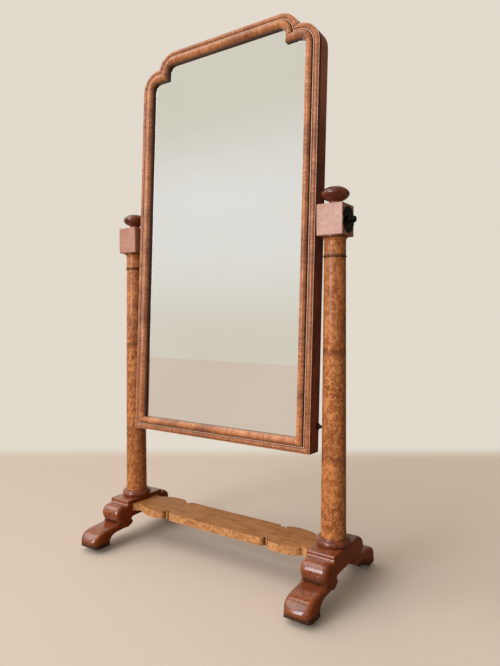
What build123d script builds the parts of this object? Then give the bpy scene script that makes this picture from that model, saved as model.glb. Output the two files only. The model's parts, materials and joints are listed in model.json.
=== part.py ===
from build123d import *
import os

os.makedirs("parts", exist_ok=True)

# Cheval mirror, millimetres. +Z is up and the front faces -Y.
# The origin lies on the floor, midway between the columns.

# Stand, overall
platform_top = 140.0
pivot_height = 1063.0
lean_back = 2.6
fit_gap = 0.05
running_gap = 0.3
frame_side_gap = 11.0
diagonal = 0.5**0.5

# Columns
column_base_radius = 36.5
column_top_radius = 31.0
neck_ring_drop = 54.0
neck_ring_radius = 33.5
neck_ring_height = 5.0
capital_radius = 38.0
capital_height = 14.0
capital_lip = 3.0
column_tenon_radius = 16.0
foot_tenon_length = 42.0
head_tenon_length = 22.0

# Collars at the foot of each column
collar_radius = 50.5
collar_height = 22.0
collar_toe_inset = 5.0
collar_crown_inset = 7.5
collar_bevel = 4.0

# Pivot blocks and finials
block_side = 79.0
block_height = 88.0
block_edge = 1.5
finial_radius = 40.0
finial_height = 51.0
finial_neck_radius = 16.5
finial_neck_height = 11.0
finial_spigot_radius = 9.0
finial_spigot_length = 18.0
finial_foot_flare = 4.0
finial_cup_spread = 7.0
finial_crown_drop = 5.5

# Legs: measures are from the column axis outwards and from the platform down
leg_width = 86.0
platform_reach = 84.5
fascia_height = 12.0
bulb_radius = 31.0
bulb_centre_reach = 103.0
bulb_centre_drop = 43.0
bulb_start_angle = 115.0
bulb_nose_angle = 15.0
bulb_foot_angle = -58.0
bulb_foot_share = 0.87
bulb_edge_radius = 5.0
quirk_reach = 119.0
quirk_drop = 68.0
toe_reach = 235.0
toe_shoulder_setback = 59.0
toe_shoulder_drop = 71.0
toe_brow_setback = 17.0
toe_brow_drop = 83.0
toe_undercut = 10.0
toe_corner_radius = 22.0
toe_edge_radius = 5.0
arch_drop = 57.0
arch_reach = 40.0
shin_reach = 84.0
shin_drop = 89.0
calf_drop = 94.0
heel_length = 14.0
heel_drop = 100.0
sole_height = 16.0
leg_dowel_radius = 5.0
leg_dowel_length = 50.0
leg_dowel_offset = 29.0
leg_dowel_lower_drop = 47.0

# Stretcher board
stretcher_drop = 13.0
stretcher_thickness = 25.0
stretcher_half_depth = 62.0
panel_end_setback = 162.0
panel_corner_radius = 13.0
notch_width = 6.0
bead_radius = 4.5
lobe_start_depth = 57.0
lobe_crest_depth = 71.0
lobe_crest_setback = 102.0
lobe_swell = 4.0
waist_depth = 53.0
waist_setback = 38.0
stretcher_end_depth = 63.0
tenon_thickness = 12.0
tenon_half_width = 40.0
tenon_length = 20.0

# Castors
castor_setback = 39.0
wheel_radius = 14.0
wheel_width = 15.0
castor_trail = 8.0
axle_radius = 2.5
fork_thickness = 2.5
fork_crown_clearance = 2.0
castor_plate_radius = 21.0
castor_plate_thickness = 2.5
king_pin_radius = 4.0
king_pin_head_radius = 6.5
king_pin_head_height = 2.0
fork_eye_wall = 3.0
fork_root_width = 17.0
wheel_edge_radius = 2.5
pocket_margin = 2.5
pocket_wall = 5.0
castor_screw_circle = 15.0
castor_screw_length = 16.0
screw_radius = 1.8
screw_head_radius = 3.6
screw_head_height = 2.0

# Tilting frame, measured from the pivot axis in the plane of the plate
frame_half_width = 344.5
frame_top = 631.0
frame_bottom = 665.0
ear_radius = 68.0
shoulder_radius = 68.0
ear_drop = 48.0
arris_front = 25.0
frame_back = 31.0

# Moulding section, measured from the sight edge outwards
moulding_width = 44.0
bead_width = 24.0
bead_height = 11.0
quirk_depth = 3.0
quirk_width = 0.7
fillet_width = 2.6
fillet_height = 1.5
mitre_run_on = 60.0
mitre_spread = 20.0
mitre_depth = 70.0
outer_bead_height = 4.0
arris_flat = 1.6
rebate_width = 8.0

# Plate, carcass and back
glass_thickness = 5.0
glass_front_setback = 8.0
glass_lap = 7.0
carcass_thickness = 24.0
back_rebate_width = 12.0
back_thickness = 8.0
back_setback = 1.0
back_screw_pitch = 190.0
back_screw_length = 20.0
glazing_block_length = 60.0
glazing_block_height = 12.0
glazing_block_lap = 9.0
glazing_block_pitch = 240.0

# Pivots
thumbscrew_radius = 4.0
thumbscrew_side_gap = 1.0
thumbscrew_reach_in = 14.0
knob_radius = 10.0
knob_length = 10.0
knob_neck_radius = 5.5
knob_neck_length = 4.0
knob_foot_flare = 1.5
knob_neck_flare = 1.0
knob_brow = 2.2
knob_crown = 1.0
knob_cap = 4.0
rose_radius = 37.0
rose_thickness = 3.0
rose_shoulder = 3.0
rose_edge_ease = 1.2
rose_boss_radius = 12.5
rose_boss_height = 5.0
spacer_radius = 17.0
nut_plate_length = 62.0
nut_plate_width = 22.0
nut_plate_thickness = 3.0
nut_screw_offset = 22.0
nut_screw_length = 14.0

# Side studs near the foot of the frame
stud_drop = 590.0
stud_setback = 24.0
stud_radius = 10.0
stud_tip_radius = 2.5
stud_foot = 2.5
stud_column_gap = 1.0
stud_peg_radius = 4.0
stud_peg_length = 12.0

# Derived places
half_spacing = frame_half_width + frame_side_gap + block_side / 2
column_top = pivot_height - block_height / 2
block_top = pivot_height + block_height / 2
ear_centre_x = frame_half_width - ear_radius
ear_centre_z = frame_top - ear_drop - ear_radius
shoulder_centre_x = ear_centre_x - shoulder_radius
shoulder_centre_z = frame_top - shoulder_radius
glass_front = -arris_front + glass_front_setback
glass_back = glass_front + glass_thickness
stretcher_top = platform_top - stretcher_drop
stretcher_reach = half_spacing - leg_width / 2
bore_radius = thumbscrew_radius + fit_gap
castor_reach = toe_reach - castor_setback
pocket_radius = castor_trail + wheel_radius + pocket_margin
sole_rear_reach = castor_reach - pocket_radius - pocket_wall
fork_top = 2 * wheel_radius + fork_crown_clearance + fork_thickness
castor_plate_foot = fork_top + running_gap
castor_plate_top = castor_plate_foot + castor_plate_thickness
moulding_back = -glass_front_setback - glass_thickness


def save(name, shape):
    """Write one sub-part as its own file."""
    export_step(shape, f"parts/{name}.step")


def ring_solid(points_and_curves):
    """Turn a closed half profile, drawn in the XZ plane, round the Z axis."""
    return revolve(make_face(Plane.XZ * points_and_curves), Axis.Z)


def rod(radius, start, direction, length):
    """A plain round bar from a point along a direction."""
    plane = Plane(origin=start, z_dir=direction)
    return extrude(plane * Circle(radius), length)


def screw(head, direction, length):
    """A countersunk wood screw without its thread; the head lies flush."""
    plane = Plane(origin=head, z_dir=direction)
    cone = plane * Pos(0, 0, screw_head_height / 2) * Cone(screw_head_radius, screw_radius, screw_head_height)
    shank = extrude(plane * Circle(screw_radius), length)
    return cone + shank


def screw_hole(head, direction, length):
    """The room that a screw needs, one fit wider than the screw."""
    plane = Plane(origin=head, z_dir=direction)
    cone_top = screw_head_radius + fit_gap
    cone_foot = screw_radius + fit_gap
    cone = plane * Pos(0, 0, screw_head_height / 2) * Cone(cone_top, cone_foot, screw_head_height)
    shank = extrude(plane * Circle(cone_foot), length + fit_gap)
    return cone + shank


def mirrored(shape):
    """The same sub-part for the other side."""
    return mirror(shape, about=Plane.YZ)


# Column: tapered shaft with a neck ring, a flared capital and round tenons

def make_column():
    ring_top = column_top - neck_ring_drop
    ring_foot = ring_top - neck_ring_height
    flare_foot = column_top - capital_height
    tenon_foot = platform_top - foot_tenon_length
    tenon_head = column_top + head_tenon_length
    outline = Curve() + [
        Line((0, tenon_foot), (column_tenon_radius, tenon_foot)),
        Line((column_tenon_radius, tenon_foot), (column_tenon_radius, platform_top)),
        Line((column_tenon_radius, platform_top), (column_base_radius, platform_top)),
        Line((column_base_radius, platform_top), (column_top_radius, ring_foot)),
        ThreePointArc(
            (column_top_radius, ring_foot),
            (neck_ring_radius, (ring_foot + ring_top) / 2),
            (column_top_radius, ring_top),
        ),
        Line((column_top_radius, ring_top), (column_top_radius, flare_foot)),
        Spline(
            [(column_top_radius, flare_foot), (capital_radius, column_top - capital_lip)],
            tangents=[(0, 1), (1, 0.35)],
        ),
        Line((capital_radius, column_top - capital_lip), (capital_radius, column_top)),
        Line((capital_radius, column_top), (column_tenon_radius, column_top)),
        Line((column_tenon_radius, column_top), (column_tenon_radius, tenon_head)),
        Line((column_tenon_radius, tenon_head), (0, tenon_head)),
        Line((0, tenon_head), (0, tenon_foot)),
    ]
    return Pos(half_spacing, 0, 0) * ring_solid(outline)


# Collar: a half-round ring that the column foot stands in

def make_collar():
    bore = column_base_radius + fit_gap
    foot = platform_top
    top = platform_top + collar_height
    swell_height = foot + collar_height * 0.42
    toe = collar_radius - collar_toe_inset
    crown = (collar_radius - collar_crown_inset, top - collar_bevel)
    outline = Curve() + [
        Line((bore, foot), (toe, foot)),
        ThreePointArc((toe, foot), (collar_radius, swell_height), crown),
        Line(crown, (bore + collar_bevel, top)),
        Line((bore + collar_bevel, top), (bore, top)),
        Line((bore, top), (bore, foot)),
    ]
    return Pos(half_spacing, 0, 0) * ring_solid(outline)


# Pivot block: square, with sockets for the column and finial and a bore across

def make_pivot_block():
    centre = (half_spacing, 0, pivot_height)
    block = Pos(*centre) * Box(block_side, block_side, block_height)
    block = chamfer(block.edges(), block_edge)
    block -= rod(column_tenon_radius + fit_gap, (half_spacing, 0, column_top), (0, 0, 1), head_tenon_length)
    spigot_foot = (half_spacing, 0, block_top - finial_spigot_length)
    block -= rod(finial_spigot_radius + fit_gap, spigot_foot, (0, 0, 1), finial_spigot_length)
    block -= rod(bore_radius, (half_spacing - block_side, 0, pivot_height), (1, 0, 0), 2 * block_side)
    return block


# Finial: a flattened bun on a waisted neck, with a spigot

def make_finial():
    widest = finial_height * 0.64
    waist = finial_neck_height * 0.6
    foot_radius = finial_neck_radius + finial_foot_flare
    outline = Curve() + [
        Line((0, -finial_spigot_length), (finial_spigot_radius, -finial_spigot_length)),
        Line((finial_spigot_radius, -finial_spigot_length), (finial_spigot_radius, 0)),
        Line((finial_spigot_radius, 0), (foot_radius, 0)),
        Spline(
            [(foot_radius, 0), (finial_neck_radius, waist)],
            tangents=[(-0.4, 1), (0, 1)],
        ),
        Spline(
            [
                (finial_neck_radius, waist),
                (finial_neck_radius + finial_cup_spread, finial_neck_height + 2),
                (finial_radius, widest),
                (finial_radius * 0.72, finial_height - finial_crown_drop),
                (0, finial_height),
            ],
            tangents=[(0, 1), (-1, 0)],
        ),
        Line((0, finial_height), (0, -finial_spigot_length)),
    ]
    return Pos(half_spacing, 0, block_top) * ring_solid(outline)


# Legs: scrolled side profile cut to a plan with rounded toes

def leg_point(reach, drop):
    """A point of the front leg's side profile: outwards is -Y, down is -Z."""
    return (-reach, platform_top - drop)


def bulb_point(angle, share=1.0):
    """A point on the scroll's bulb, by its angle above the level line outwards."""
    spoke = Vector(bulb_radius * share, 0).rotate(Axis.Z, angle)
    return leg_point(bulb_centre_reach + spoke.X, bulb_centre_drop - spoke.Y)


def leg_profile():
    """The sawn side outline of one front leg."""
    sole_drop = platform_top - sole_height
    bulb_top = bulb_point(bulb_start_angle)
    bulb_foot = bulb_point(bulb_foot_angle, bulb_foot_share)
    toe_tip_drop = (toe_brow_drop + sole_drop) / 2
    sole_tip = leg_point(toe_reach - toe_undercut, sole_drop)
    heel_reach = sole_rear_reach - heel_length
    top = Curve() + [
        Line(leg_point(0, 0), leg_point(platform_reach, 0)),
        Line(leg_point(platform_reach, 0), leg_point(platform_reach, fascia_height)),
        Line(leg_point(platform_reach, fascia_height), bulb_top),
        ThreePointArc(bulb_top, bulb_point(bulb_nose_angle), bulb_foot),
        Line(bulb_foot, leg_point(quirk_reach, quirk_drop)),
        Spline(
            [
                leg_point(quirk_reach, quirk_drop),
                leg_point(toe_reach - toe_shoulder_setback, toe_shoulder_drop),
                leg_point(toe_reach - toe_brow_setback, toe_brow_drop),
                leg_point(toe_reach, toe_tip_drop),
                sole_tip,
            ]
        ),
    ]
    under = Curve() + [
        Line(sole_tip, leg_point(sole_rear_reach, sole_drop)),
        Spline(
            [
                leg_point(sole_rear_reach, sole_drop),
                leg_point(heel_reach, heel_drop),
                leg_point((heel_reach + shin_reach) / 2, calf_drop),
                leg_point(shin_reach, shin_drop),
                leg_point((shin_reach + arch_reach) / 2, (shin_drop + arch_drop) / 2),
                leg_point(arch_reach, arch_drop),
            ],
            tangents=[(0.25, 1), (1, 0)],
        ),
        Line(leg_point(arch_reach, arch_drop), leg_point(0, arch_drop)),
        Line(leg_point(0, arch_drop), leg_point(0, 0)),
    ]
    return make_face(Plane.YZ * (top + under))


def toe_rim(leg):
    """The edges that run round the top of the toe, from quirk to quirk."""
    rim = []
    for edge in leg.edges().filter_by(GeomType.BSPLINE):
        box = edge.bounding_box()
        if box.max.Y < -quirk_reach + 1 and box.max.X - box.min.X < leg_width / 2:
            rim.append(edge)
    return rim


def make_leg():
    """The right-hand front leg, with its sockets and castor pocket."""
    plan = Pos(half_spacing, -toe_reach / 2 - 1) * Rectangle(leg_width, toe_reach + 2)
    plan = fillet(plan.vertices().sort_by(Axis.Y)[:2], toe_corner_radius)
    leg = extrude(Pos(half_spacing - leg_width / 2, 0, 0) * leg_profile(), leg_width)
    leg = leg & extrude(plan, platform_top + 1)
    leg = fillet(toe_rim(leg), toe_edge_radius)
    bulb_edges = leg.edges().filter_by(GeomType.CIRCLE).sort_by(SortBy.LENGTH)[-2:]
    leg = fillet(bulb_edges, bulb_edge_radius)
    socket_foot = (half_spacing, 0, platform_top - foot_tenon_length)
    leg -= rod(column_tenon_radius + fit_gap, socket_foot, (0, 0, 1), 2 * foot_tenon_length)
    leg -= stretcher_tenon(fit_gap)
    leg -= leg_dowels(fit_gap)
    leg -= rod(pocket_radius, (half_spacing, -castor_reach, 0), (0, 0, 1), castor_plate_top)
    leg -= castor_screws(half_spacing, -castor_reach, True)
    pin_room_foot = (half_spacing, -castor_reach, castor_plate_top)
    pin_room_height = king_pin_head_height + 5 * running_gap
    leg -= rod(king_pin_head_radius + running_gap, pin_room_foot, (0, 0, 1), pin_room_height)
    return leg


def leg_dowels(clearance=0.0):
    """Two dowels that join a front leg to the rear leg behind it."""
    radius = leg_dowel_radius + clearance
    length = leg_dowel_length + 2 * clearance
    outer_z = platform_top - arch_drop / 2
    lower_z = platform_top - leg_dowel_lower_drop
    outer = rod(radius, (half_spacing + leg_dowel_offset, -length / 2, outer_z), (0, 1, 0), length)
    lower = rod(radius, (half_spacing - leg_dowel_offset, -length / 2, lower_z), (0, 1, 0), length)
    return [outer, lower]


# Stretcher: a shaped board with a tenon at each end

def stretcher_tenon(clearance=0.0):
    """The tenon at the right-hand end, or its mortise when given a clearance."""
    length = tenon_length + clearance
    depth = 2 * (tenon_half_width + clearance)
    height = tenon_thickness + 2 * clearance
    centre_x = stretcher_reach + length / 2
    return Pos(centre_x, 0, stretcher_top - stretcher_thickness / 2) * Box(length, depth, height)


def stretcher_outline():
    """A quarter of the board in plan: panel, corner, notch, bead, lobe and waist."""
    corner_x = stretcher_reach - panel_end_setback
    corner_start = corner_x - panel_corner_radius
    corner_y = stretcher_half_depth - panel_corner_radius
    corner_cut = panel_corner_radius * (1 - diagonal)
    notch_x = corner_x + notch_width
    bead_x = notch_x + 2 * bead_radius
    lobe_x = bead_x + notch_width / 2
    crest_x = stretcher_reach - lobe_crest_setback
    swell_x = (lobe_x + crest_x) / 2 - 1.5 * lobe_swell
    swell_y = (lobe_start_depth + lobe_crest_depth) / 2 + lobe_swell
    bead_crown = (notch_x + bead_radius, corner_y + bead_radius)
    quarter = Curve() + [
        Line((0, 0), (0, stretcher_half_depth)),
        Line((0, stretcher_half_depth), (corner_start, stretcher_half_depth)),
        ThreePointArc(
            (corner_start, stretcher_half_depth),
            (corner_x - corner_cut, stretcher_half_depth - corner_cut),
            (corner_x, corner_y),
        ),
        Line((corner_x, corner_y), (notch_x, corner_y)),
        ThreePointArc((notch_x, corner_y), bead_crown, (bead_x, corner_y)),
        Line((bead_x, corner_y), (lobe_x, corner_y)),
        Line((lobe_x, corner_y), (lobe_x, lobe_start_depth)),
        Spline(
            [
                (lobe_x, lobe_start_depth),
                (swell_x, swell_y),
                (crest_x, lobe_crest_depth),
                (stretcher_reach - waist_setback, waist_depth),
                (stretcher_reach, stretcher_end_depth),
            ],
            tangents=[(0.2, 1), (1, 0.6)],
        ),
        Line((stretcher_reach, stretcher_end_depth), (stretcher_reach, 0)),
        Line((stretcher_reach, 0), (0, 0)),
    ]
    return make_face(quarter)


def make_stretcher():
    underside = Pos(0, 0, stretcher_top - stretcher_thickness)
    quarter = extrude(underside * stretcher_outline(), stretcher_thickness)
    half = quarter + mirror(quarter, about=Plane.XZ)
    board = half + mirrored(half)
    return board + stretcher_tenon() + mirrored(stretcher_tenon())


# Castors: plate, swivelling fork with king pin, axle and wheel

def castor_plate(x, y):
    """The round plate let up into the toe."""
    foot = (x, y, castor_plate_foot)
    plate = rod(castor_plate_radius, foot, (0, 0, 1), castor_plate_thickness)
    plate -= rod(king_pin_radius + fit_gap, foot, (0, 0, 1), castor_plate_thickness)
    return plate - castor_screws(x, y, True)


def castor_screws(x, y, as_holes):
    """Four screws that hold one castor plate, or their holes."""
    make = screw_hole if as_holes else screw
    spots = PolarLocations(castor_screw_circle, 4, start_angle=45)
    ring = [Pos(x, y, castor_plate_foot) * spot for spot in spots]
    return [make(tuple(place.position), (0, 0, 1), castor_screw_length) for place in ring]


def castor_fork(x, y, way):
    """The fork, trailing inwards; way is +1 for a front castor and -1 for a rear one."""
    wheel_y = y + way * castor_trail
    mid_y = (y + wheel_y) / 2
    cheek_x = wheel_width / 2 + running_gap
    crown_foot = 2 * wheel_radius + fork_crown_clearance
    crown_width = 2 * (cheek_x + fork_thickness)
    crown = SlotCenterToCenter(castor_trail, crown_width, rotation=90)
    fork = extrude(Pos(x, mid_y, crown_foot) * crown, fork_thickness)
    eye = Pos(wheel_y, wheel_radius) * Circle(axle_radius + fork_eye_wall)
    root = Pos(mid_y, crown_foot + fork_thickness / 2) * Rectangle(fork_root_width, fork_thickness - 0.5)
    cheek = make_hull([*eye.edges(), *root.edges()])
    for left_x in (x - cheek_x - fork_thickness, x + cheek_x):
        side_plane = Plane(origin=(left_x, 0, 0), x_dir=(0, 1, 0), z_dir=(1, 0, 0))
        fork += extrude(side_plane * cheek, fork_thickness)
    pin_length = castor_plate_top - crown_foot + running_gap
    fork += rod(king_pin_radius, (x, y, crown_foot), (0, 0, 1), pin_length)
    fork += rod(king_pin_head_radius, (x, y, crown_foot + pin_length), (0, 0, 1), king_pin_head_height)
    axle_start = (x - wheel_width, wheel_y, wheel_radius)
    return fork - rod(axle_radius + fit_gap, axle_start, (1, 0, 0), 2 * wheel_width)


def castor_axle(x, y, way):
    """The axle pin, as long as the fork is wide."""
    half_length = wheel_width / 2 + running_gap + fork_thickness
    start = (x - half_length, y + way * castor_trail, wheel_radius)
    return rod(axle_radius, start, (1, 0, 0), 2 * half_length)


def castor_wheel(x, y, way):
    """A turned wheel with rounded rims and a bored hub."""
    start = (x - wheel_width / 2, y + way * castor_trail, wheel_radius)
    wheel = rod(wheel_radius, start, (1, 0, 0), wheel_width)
    wheel = fillet(wheel.edges().filter_by(GeomType.CIRCLE), wheel_edge_radius)
    return wheel - rod(axle_radius + 2 * fit_gap, start, (1, 0, 0), wheel_width)


# Tilting frame: outline, moulding, carcass, plate and back, drawn upright about the pivot

def frame_outline(inset):
    """The eared outline of the frame, drawn in by an inset, in the plane of the plate."""
    half_width = frame_half_width - inset
    foot = -frame_bottom + inset
    ear = ear_radius - inset
    shoulder = shoulder_radius - inset
    ear_top = ear_centre_z + ear
    head_top = shoulder_centre_z + shoulder
    reach = shoulder_centre_x + shoulder
    body = Pos(0, (foot + ear_centre_z) / 2) * Rectangle(2 * half_width, ear_centre_z - foot)
    neck = Pos(0, (foot + ear_top) / 2) * Rectangle(2 * ear_centre_x, ear_top - foot)
    chest = Pos(0, (foot + shoulder_centre_z) / 2) * Rectangle(2 * reach, shoulder_centre_z - foot)
    crown = Pos(0, (foot + head_top) / 2) * Rectangle(2 * shoulder_centre_x, head_top - foot)
    shape = body + neck + chest + crown
    for side in (-1, 1):
        shape += Pos(side * ear_centre_x, ear_centre_z) * Circle(ear)
        shape += Pos(side * shoulder_centre_x, shoulder_centre_z) * Circle(shoulder)
    return shape


def frame_slab(inset, front, back):
    """The frame outline as a slab between two depths behind the pivot plane."""
    return extrude(Plane.XZ.offset(-front) * frame_outline(inset), -(back - front))


def region(points):
    """A tall prism over a polygon in the plane of the plate, used to part the frame."""
    depth = frame_back + arris_front + bead_height + 4
    face = Plane.XZ.offset(arris_front + bead_height + 2) * make_face(Polyline(*points, close=True))
    return extrude(face, -depth)


def cusp_line(along):
    """A point on the mitre at the re-entrant corner; 0 is the outer corner, 1 the sight corner."""
    rise = ear_centre_z + ear_radius
    outer_x = shoulder_centre_x + (shoulder_radius**2 - (rise - shoulder_centre_z) ** 2) ** 0.5
    inner = (ear_centre_x - moulding_width, rise - moulding_width)
    return (outer_x + (inner[0] - outer_x) * along, rise + (inner[1] - rise) * along)


def stile_region():
    """Everything right of the mitres."""
    outer = cusp_line(-0.5)
    spread_x = frame_half_width + mitre_spread
    return region(
        [
            (spread_x, -frame_bottom - mitre_spread),
            (frame_half_width - mitre_depth, mitre_depth - frame_bottom),
            cusp_line(1.5),
            outer,
            (spread_x, outer[1]),
        ]
    )


def head_region():
    """Everything above the two cusp mitres."""
    inner = cusp_line(1.5)
    outer = cusp_line(-0.5)
    top = frame_top + mitre_spread
    right = [inner, outer, (outer[0], top)]
    left = [(-x, z) for x, z in reversed(right)]
    return region(right + left)


def foot_region():
    """Everything below the two bottom mitres."""
    spread = (frame_half_width + mitre_spread, -frame_bottom - mitre_spread)
    inner = (frame_half_width - mitre_depth, mitre_depth - frame_bottom)
    return region([spread, inner, (-inner[0], inner[1]), (-spread[0], spread[1])])


def moulding_section():
    """Two beads parted by a quirk and a fillet, over a rebate for the plate.

    X runs from the sight edge outwards and Y towards the front, from the arris."""
    fillet_start = bead_width + quirk_width
    fillet_end = fillet_start + fillet_width
    outer_start = fillet_end + quirk_width
    outer_end = moulding_width - arris_flat
    outer_crown = ((outer_start + outer_end) / 2, outer_bead_height)
    crest = (bead_width * 0.58, bead_height)
    inner_swell = (bead_width * 0.3, bead_height * 0.86)
    outer_swell = (bead_width * 0.9, bead_height * 0.5)
    section = Curve() + [
        Line((0, -glass_front_setback), (0, -quirk_depth)),
        ThreePointArc((0, -quirk_depth), inner_swell, crest),
        ThreePointArc(crest, outer_swell, (bead_width, -quirk_depth)),
        Line((bead_width, -quirk_depth), (fillet_start, -quirk_depth)),
        Line((fillet_start, -quirk_depth), (fillet_start, fillet_height)),
        Line((fillet_start, fillet_height), (fillet_end, fillet_height)),
        Line((fillet_end, fillet_height), (fillet_end, 0)),
        Line((fillet_end, 0), (outer_start, 0)),
        ThreePointArc((outer_start, 0), outer_crown, (outer_end, 0)),
        Line((outer_end, 0), (moulding_width, 0)),
        Line((moulding_width, 0), (moulding_width, moulding_back)),
        Line((moulding_width, moulding_back), (rebate_width, moulding_back)),
        Line((rebate_width, moulding_back), (rebate_width, -glass_front_setback)),
        Line((rebate_width, -glass_front_setback), (0, -glass_front_setback)),
    ]
    return make_face(section)


def stile_path():
    """The sight edge of a stile: up, round the ear and on past the mitre."""
    x = frame_half_width - moulding_width
    ear = ear_radius - moulding_width
    turn = ear * diagonal
    cusp_x = ear_centre_x - moulding_width
    return Curve() + [
        Line((x, 0, -frame_bottom - mitre_run_on), (x, 0, ear_centre_z)),
        ThreePointArc(
            (x, 0, ear_centre_z),
            (ear_centre_x + turn, 0, ear_centre_z + turn),
            (ear_centre_x, 0, ear_centre_z + ear),
        ),
        Line((ear_centre_x, 0, ear_centre_z + ear), (cusp_x - mitre_run_on, 0, ear_centre_z + ear)),
    ]


def head_path():
    """The sight edge of the head: up to the right shoulder, over and down the left one."""
    shoulder = shoulder_radius - moulding_width
    x = shoulder_centre_x + shoulder
    z = shoulder_centre_z
    turn = shoulder * diagonal
    top = z + shoulder
    return Curve() + [
        Line((x, 0, z - mitre_run_on), (x, 0, z)),
        ThreePointArc((x, 0, z), (shoulder_centre_x + turn, 0, z + turn), (shoulder_centre_x, 0, top)),
        Line((shoulder_centre_x, 0, top), (-shoulder_centre_x, 0, top)),
        ThreePointArc((-shoulder_centre_x, 0, top), (-shoulder_centre_x - turn, 0, z + turn), (-x, 0, z)),
        Line((-x, 0, z), (-x, 0, z - mitre_run_on)),
    ]


def run_moulding(path, outward):
    """Carry the moulding section along a path that starts at its sight edge."""
    start = path @ 0
    along = path % 0
    plane = Plane(origin=(start.X, -arris_front, start.Z), x_dir=outward, z_dir=along)
    section = moulding_section()
    if plane.y_dir.Y > 0:
        section = mirror(section, about=Plane.XZ)
    return sweep(plane * section, path=Pos(0, -arris_front, 0) * path)


def make_stile_moulding():
    return run_moulding(stile_path(), (1, 0, 0)) & stile_region()


def make_head_moulding():
    return run_moulding(head_path(), (1, 0, 0)) & head_region()


def make_foot_moulding():
    z = -frame_bottom + moulding_width
    reach = frame_half_width + mitre_spread
    path = Line((-reach, 0, z), (reach, 0, z))
    return run_moulding(path, (0, 0, -1)) & foot_region()


def carcass_ring():
    """The deep case behind the moulding, rebated for the back."""
    back_face = frame_back - back_thickness - back_setback
    ring = frame_slab(0, glass_back, frame_back) - frame_slab(carcass_thickness, glass_back, frame_back)
    return ring - frame_slab(back_rebate_width, back_face, frame_back)


def make_carcass_pieces():
    """Sides with their ears, the shaped head and the bottom board."""
    ring = carcass_ring()
    inner_x = frame_half_width - carcass_thickness
    outer_x = frame_half_width + mitre_spread
    low = -frame_bottom - mitre_spread
    joint = cusp_line(-0.5)
    side = ring & region(
        [(inner_x, low), (inner_x, 0), cusp_line(1.5), joint, (outer_x, joint[1]), (outer_x, low)]
    )
    head = ring & head_region()
    foot = ring & region([(-inner_x, low), (inner_x, low), (inner_x, 0), (-inner_x, 0)])
    side -= nut_plate(0)
    side -= nut_screws(True)
    screw_way_radius = thumbscrew_radius + thumbscrew_side_gap
    side -= rod(screw_way_radius, (inner_x - 1, 0, 0), (1, 0, 0), carcass_thickness + 2)
    side -= stud_peg(fit_gap)
    return side, head, foot


def nut_plate(bored):
    """A brass plate let into the frame's side, with the thumbscrew's bore when bored is set."""
    centre_x = frame_half_width - nut_plate_thickness / 2
    plate = Pos(centre_x, 0, 0) * Box(nut_plate_thickness, nut_plate_width, nut_plate_length)
    if bored:
        plate -= rod(bore_radius, (frame_half_width - 2 * nut_plate_thickness, 0, 0), (1, 0, 0), 20)
        plate -= nut_screws(True)
    return plate


def nut_screws(as_holes):
    """Two screws that hold one nut plate, or their holes."""
    make = screw_hole if as_holes else screw
    heads = [(frame_half_width, 0, side * nut_screw_offset) for side in (-1, 1)]
    return [make(head, (-1, 0, 0), nut_screw_length) for head in heads]


def stud_place():
    """Where a side stud's axis leaves the frame's side."""
    return (frame_half_width, stud_setback, -stud_drop)


def stud_peg(clearance):
    """The stud's peg, or its hole when given a clearance."""
    x, y, z = stud_place()
    length = stud_peg_length + clearance
    return rod(stud_peg_radius + clearance, (x - length, y, z), (1, 0, 0), length)


def make_side_stud():
    """A turned conical stud that keeps the frame off the column."""
    x, y, z = stud_place()
    stud_z = pivot_height - stud_drop
    taper = (column_base_radius - column_top_radius) / (column_top - platform_top)
    column_radius = column_base_radius - taper * (stud_z - platform_top)
    length = half_spacing - column_radius - frame_half_width - stud_column_gap
    outline = Curve() + [
        Line((0, -stud_peg_length), (stud_peg_radius, -stud_peg_length)),
        Line((stud_peg_radius, -stud_peg_length), (stud_peg_radius, 0)),
        Line((stud_peg_radius, 0), (stud_radius, 0)),
        Line((stud_radius, 0), (stud_radius, stud_foot)),
        Spline([(stud_radius, stud_foot), (stud_tip_radius, length)], tangents=[(-0.9, 0.5), (-0.5, 0.8)]),
        Line((stud_tip_radius, length), (0, length)),
        Line((0, length), (0, -stud_peg_length)),
    ]
    return Plane(origin=(x, y, z), z_dir=(1, 0, 0)) * ring_solid(outline)


def back_screw_places():
    """Screw heads round the back panel, in the middle of its ledge."""
    ledge = (carcass_thickness + back_rebate_width) / 2
    x = frame_half_width - ledge
    low = -frame_bottom + ledge
    high = ear_centre_z - 20
    rows = round((high - low) / back_screw_pitch)
    columns = round(2 * x / back_screw_pitch)
    head_z = frame_top - ledge
    head_reach = shoulder_centre_x - 10
    sides = [(side * x, low + (high - low) * row / rows) for side in (-1, 1) for row in range(rows + 1)]
    foot = [(-x + 2 * x * column / columns, low) for column in range(1, columns)]
    head = [(-head_reach + head_reach * step, head_z) for step in range(3)]
    return sides + foot + head


def back_screws(as_holes):
    """The screws that hold the back panel, or their holes."""
    make = screw_hole if as_holes else screw
    head_y = frame_back - back_setback
    return [make((x, head_y, z), (0, -1, 0), back_screw_length) for x, z in back_screw_places()]


def make_back_panel():
    face = frame_back - back_thickness - back_setback
    return frame_slab(back_rebate_width + 0.5, face, frame_back - back_setback) - back_screws(True)


def make_glass():
    return frame_slab(moulding_width - glass_lap, glass_front, glass_back)


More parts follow.
